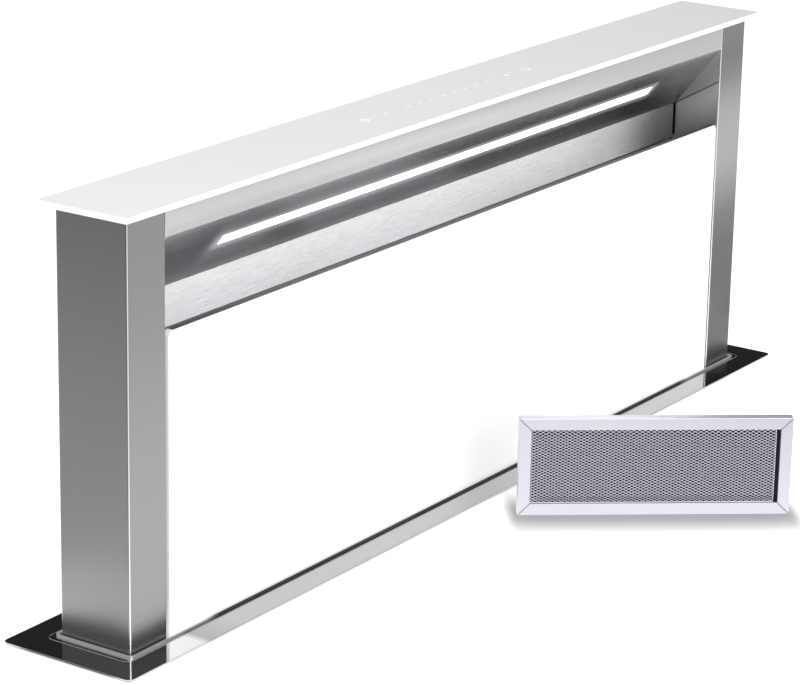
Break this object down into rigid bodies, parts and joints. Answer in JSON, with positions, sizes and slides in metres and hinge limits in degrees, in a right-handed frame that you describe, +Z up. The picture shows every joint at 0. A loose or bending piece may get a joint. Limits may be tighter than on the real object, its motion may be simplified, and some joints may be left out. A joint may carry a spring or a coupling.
{
  "type": "downdraft vent",
  "caption": "Downdraft vent: a glass and steel column that rises from a worktop slot, with grease filters, a light and a blower below.",
  "frame": {"origin": "middle of the slot, at the worktop surface, which is the underside of the tape below the flange", "axes": "+X along the slot towards the duct outlet's side, -Y towards the cook and the front glass, +Z up"},
  "size_m": [0.896, 0.3317, 0.9948],
  "materials": {
    "polished_steel": "polished stainless sheet",
    "brushed_steel": "brushed",
    "satin_steel": "fine satin",
    "seal_rubber": "matt",
    "galvanised_sheet": "zinc coated",
    "slide_plastic": "self-lubricating, natural",
    "gear_plastic": "moulded, natural",
    "dark_plastic": "moulded, black",
    "pale_plastic": "moulded, pale grey",
    "motor_paint": "satin black",
    "bright_steel": "machined",
    "white_glass": "back-painted white, polished",
    "opal_plastic": "opal, lit from behind",
    "aluminium": "extruded",
    "anodised_aluminium": "satin anodised",
    "mesh_aluminium": "expanded mesh"
  },
  "bodies": {
    "chassis": {"worktop_flange": "polished_steel", "flange_tape": "seal_rubber", "slot_collar": "polished_steel", "slot_seal": "seal_rubber", "housing_back": "galvanised_sheet", "housing_front": "galvanised_sheet", "housing_side_left": "galvanised_sheet", "housing_side_right": "galvanised_sheet", "housing_base": "galvanised_sheet", "rail_left": "galvanised_sheet", "rail_right": "galvanised_sheet", "bearing_left": "slide_plastic", "bearing_right": "slide_plastic", "gear_motor": "motor_paint", "motor_bracket": "galvanised_sheet", "blower_box": "galvanised_sheet", "blower_cover": "galvanised_sheet", "scroll_housing": "dark_plastic", "inlet_ring": "dark_plastic", "blower_motor": "motor_paint", "outlet_collar": "dark_plastic", "control_box": "pale_plastic", "control_cover": "pale_plastic", "cable_gland": "dark_plastic", "worktop_clamps": "galvanised_sheet", "cabinet_brackets": "galvanised_sheet"},
    "column": {"cap_glass": "white_glass", "cap_tray": "brushed_steel", "touch_module": "dark_plastic", "post_left": "brushed_steel", "post_right": "brushed_steel", "column_back": "brushed_steel", "fascia_slope": "satin_steel", "led_diffuser": "opal_plastic", "led_board": "aluminium", "intake_baffle": "brushed_steel", "filter_wall": "brushed_steel", "filter_ledge": "brushed_steel", "column_floor": "brushed_steel", "leg_left": "bright_steel", "leg_right": "bright_steel", "guide_shoes": "slide_plastic", "glass_pins": "bright_steel"},
    "lift_shaft": {"cross_shaft": "bright_steel", "pinion_left": "gear_plastic", "pinion_right": "gear_plastic", "shaft_gear": "gear_plastic"},
    "motor_gear": {"drive_gear": "bright_steel"},
    "wheel": {"impeller": "dark_plastic"},
    "front_flap": {"flap_front": "dark_plastic"},
    "rear_flap": {"flap_rear": "dark_plastic"},
    "glass_panel": {"front_glass": "white_glass", "glass_hooks": "bright_steel"},
    "left_filter": {"filter_frame_left": "anodised_aluminium", "filter_mesh_left": "mesh_aluminium"},
    "middle_filter": {"filter_frame_middle": "anodised_aluminium", "filter_mesh_middle": "mesh_aluminium"},
    "right_filter": {"filter_frame_right": "anodised_aluminium", "filter_mesh_right": "mesh_aluminium"}
  },
  "joints": [
    {"name": "column_lift", "type": "slide", "parent": "chassis", "child": "column", "axis": [0, 0, 1], "range_m": [-0.297, 0]},
    {"name": "shaft_turn", "type": "hinge", "parent": "chassis", "child": "lift_shaft", "pos_m": [0, 0.026, -0.345], "axis": [1, 0, 0], "range_deg": [0, 1216]},
    {"name": "motor_gear_turn", "type": "hinge", "parent": "chassis", "child": "motor_gear", "pos_m": [0, -0.001, -0.345], "axis": [1, 0, 0], "range_deg": [-1911, 0]},
    {"name": "wheel_turn", "type": "hinge", "parent": "chassis", "child": "wheel", "pos_m": [0, -0.125, -0.545], "axis": [0, -1, 0], "continuous": true},
    {"name": "front_flap_swing", "type": "hinge", "parent": "chassis", "child": "front_flap", "pos_m": [0.205, -0.125, -0.481], "axis": [0, 0, 1], "range_deg": [0, 78], "stiffness_Nm_per_rad": 0.02},
    {"name": "rear_flap_swing", "type": "hinge", "parent": "chassis", "child": "rear_flap", "pos_m": [0.205, -0.125, -0.481], "axis": [0, 0, -1], "range_deg": [0, 78], "stiffness_Nm_per_rad": 0.02},
    {"name": "glass_lift", "type": "slide", "parent": "column", "child": "glass_panel", "axis": [0, 0, 1], "range_m": [0, 0.012]},
    {"name": "left_filter_lift", "type": "slide", "parent": "column", "child": "left_filter", "axis": [0, 0, 1], "range_m": [0, 0.006]},
    {"name": "middle_filter_lift", "type": "slide", "parent": "column", "child": "middle_filter", "axis": [0, 0, 1], "range_m": [0, 0.006]},
    {"name": "right_filter_lift", "type": "slide", "parent": "chassis", "child": "right_filter", "axis": [0, 0, 1], "range_m": [0, 0.06]}
  ],
  "couplings": [
    {"joint": "shaft_turn", "follows": "column_lift", "rad_per_m": -71.429},
    {"joint": "motor_gear_turn", "follows": "column_lift", "rad_per_m": 112.24}
  ]
}
